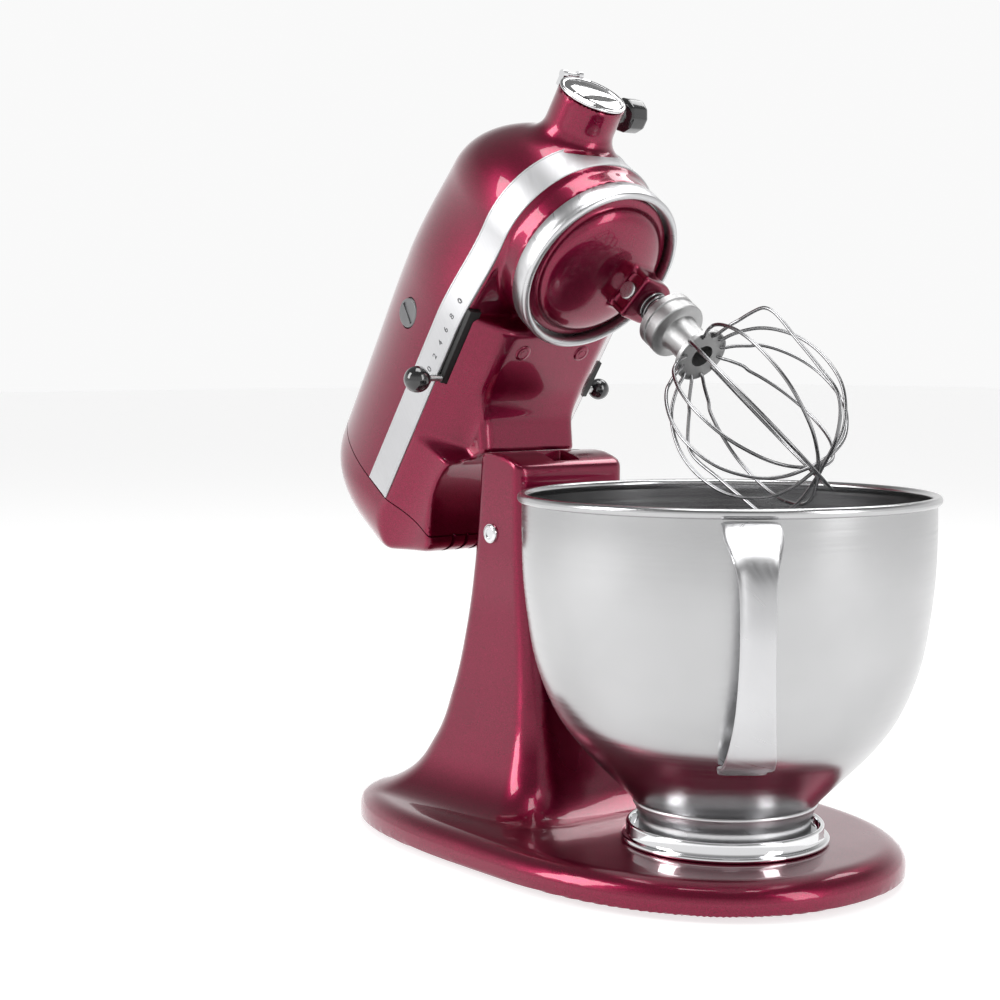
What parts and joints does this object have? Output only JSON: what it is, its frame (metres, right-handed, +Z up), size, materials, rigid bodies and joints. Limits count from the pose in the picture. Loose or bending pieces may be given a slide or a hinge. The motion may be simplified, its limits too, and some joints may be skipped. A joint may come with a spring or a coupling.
{
  "type": "stand mixer",
  "caption": "Tilt-head kitchen stand mixer on a cast base, with a hinged motor head, planetary wire whisk and a handled steel bowl in a locking plate.",
  "frame": {"origin": "middle of the object's box on the plane that the rubber feet stand on", "axes": "+X forward from the column to the bowl, +Y to the hub knob side, +Z up"},
  "size_m": [0.4473, 0.2212, 0.4368],
  "materials": {
    "paint": "gloss metallic",
    "silver_trim": "satin",
    "chrome": "polished",
    "polished_steel": "polished",
    "black_plastic": "gloss",
    "black_rubber": "matte",
    "cast_aluminium": "satin",
    "steel": "machined",
    "bronze": "machined",
    "copper": "bare",
    "carbon": "matte",
    "fan_plastic": "matte",
    "cap_plastic": "satin"
  },
  "bodies": {
    "stand": {"base_casting": "paint", "rubber_feet": "black_rubber", "hinge_pin": "chrome", "bowl_clamp_plate": "chrome", "clamp_plate_screws": "steel"},
    "head": {"motor_housing": "paint", "gearcase": "paint", "rear_cover": "paint", "rear_cover_screw": "steel", "cord_gland": "black_rubber", "trim_band": "silver_trim", "trim_ring": "chrome", "ring_gear": "steel", "centre_bushing": "bronze", "worm_bracket": "cast_aluminium", "armature_bearings": "steel", "field_stator": "steel", "field_coils": "copper", "brush_holders": "black_plastic", "carbon_brushes": "carbon", "brush_springs": "steel", "brush_caps": "cap_plastic", "control_plate": "black_plastic", "hub_socket": "cast_aluminium", "hub_cover_ears": "chrome", "hub_cover_pin": "chrome"},
    "planetary": {"planetary_housing": "paint", "planetary_lock_pin": "chrome", "centre_shaft": "steel", "centre_bevel_gear": "steel"},
    "beater": {"beater_shaft": "steel", "planet_pinion": "steel", "beater_cross_pin": "steel", "shaft_spring": "steel"},
    "whisk": {"whisk_hub": "cast_aluminium", "whisk_wires": "polished_steel"},
    "worm_wheel": {"worm_wheel_shaft": "steel", "worm_wheel": "bronze", "bevel_pinion": "steel"},
    "armature": {"armature_shaft": "steel", "armature_core": "steel", "commutator": "copper", "cooling_fan": "fan_plastic"},
    "hub_drive": {"hub_drive_shaft": "steel", "hub_bevel_gear": "steel"},
    "hub_cover": {"hub_cover": "chrome"},
    "hub_knob": {"hub_knob": "black_plastic", "hub_knob_screw": "steel"},
    "speed_lever": {"speed_lever": "steel", "speed_knob": "black_plastic"},
    "lock_lever": {"lock_lever": "steel", "lock_knob": "black_plastic"},
    "lock_pin": {"lock_pin": "steel"},
    "bowl": {"bowl_shell": "polished_steel", "bowl_foot": "chrome", "bowl_handle": "chrome"}
  },
  "joints": [
    {"name": "head_tilt", "type": "hinge", "parent": "stand", "child": "head", "pos_m": [-0.0478, 0, 0.173], "axis": [0, -1, 0], "range_deg": [-54.7, 0]},
    {"name": "bowl_twist", "type": "hinge", "parent": "stand", "child": "bowl", "pos_m": [0.1027, 0, 0.022], "axis": [0, 0, 1], "range_deg": [0, 30]},
    {"name": "planetary_spin", "type": "hinge", "parent": "head", "child": "planetary", "pos_m": [-0.00327, 0, 0.32588], "axis": [-0.8161, 0, 0.5779], "continuous": true},
    {"name": "beater_spin", "type": "hinge", "parent": "planetary", "child": "beater", "pos_m": [-0.00834, 0.02869, 0.31872], "axis": [-0.8161, 0, 0.5779], "continuous": true},
    {"name": "whisk_push", "type": "slide", "parent": "beater", "child": "whisk", "axis": [-0.8161, 0, 0.5779], "range_m": [0, 0.005], "stiffness_N_per_m": 900, "springref_m": -0.003, "deforming": ["shaft_spring"]},
    {"name": "worm_wheel_spin", "type": "hinge", "parent": "head", "child": "worm_wheel", "pos_m": [-0.03837, 0, 0.35073], "axis": [0, 1, 0], "continuous": true},
    {"name": "armature_spin", "type": "hinge", "parent": "head", "child": "armature", "pos_m": [-0.05795, 0, 0.36459], "axis": [0.5779, 0, 0.8161], "continuous": true},
    {"name": "hub_drive_spin", "type": "hinge", "parent": "head", "child": "hub_drive", "pos_m": [-0.03246, 0, 0.3833], "axis": [0.5779, 0, 0.8161], "continuous": true},
    {"name": "hub_cover_hinge", "type": "hinge", "parent": "head", "child": "hub_cover", "pos_m": [-0.02433, 0, 0.4344], "axis": [0, -1, 0], "range_deg": [0, 105]},
    {"name": "hub_knob_turn", "type": "hinge", "parent": "head", "child": "hub_knob", "pos_m": [-0.01165, 0.03, 0.41268], "axis": [0, 1, 0], "continuous": true},
    {"name": "speed_slide", "type": "slide", "parent": "head", "child": "speed_lever", "axis": [0.5779, 0, 0.8161], "range_m": [0, 0.043]},
    {"name": "lock_slide", "type": "slide", "parent": "head", "child": "lock_lever", "axis": [0.5779, 0, 0.8161], "range_m": [0, 0.015]},
    {"name": "lock_pin_drop", "type": "slide", "parent": "head", "child": "lock_pin", "axis": [0.8161, 0, -0.5779], "range_m": [0, 0.012]}
  ],
  "couplings": [
    {"joint": "beater_spin", "follows": "planetary_spin", "ratio": -3.8571},
    {"joint": "worm_wheel_spin", "follows": "planetary_spin", "ratio": 1.8},
    {"joint": "armature_spin", "follows": "planetary_spin", "ratio": -18},
    {"joint": "hub_drive_spin", "follows": "planetary_spin", "ratio": -1},
    {"joint": "lock_pin_drop", "follows": "lock_slide", "ratio": 0.8}
  ]
}
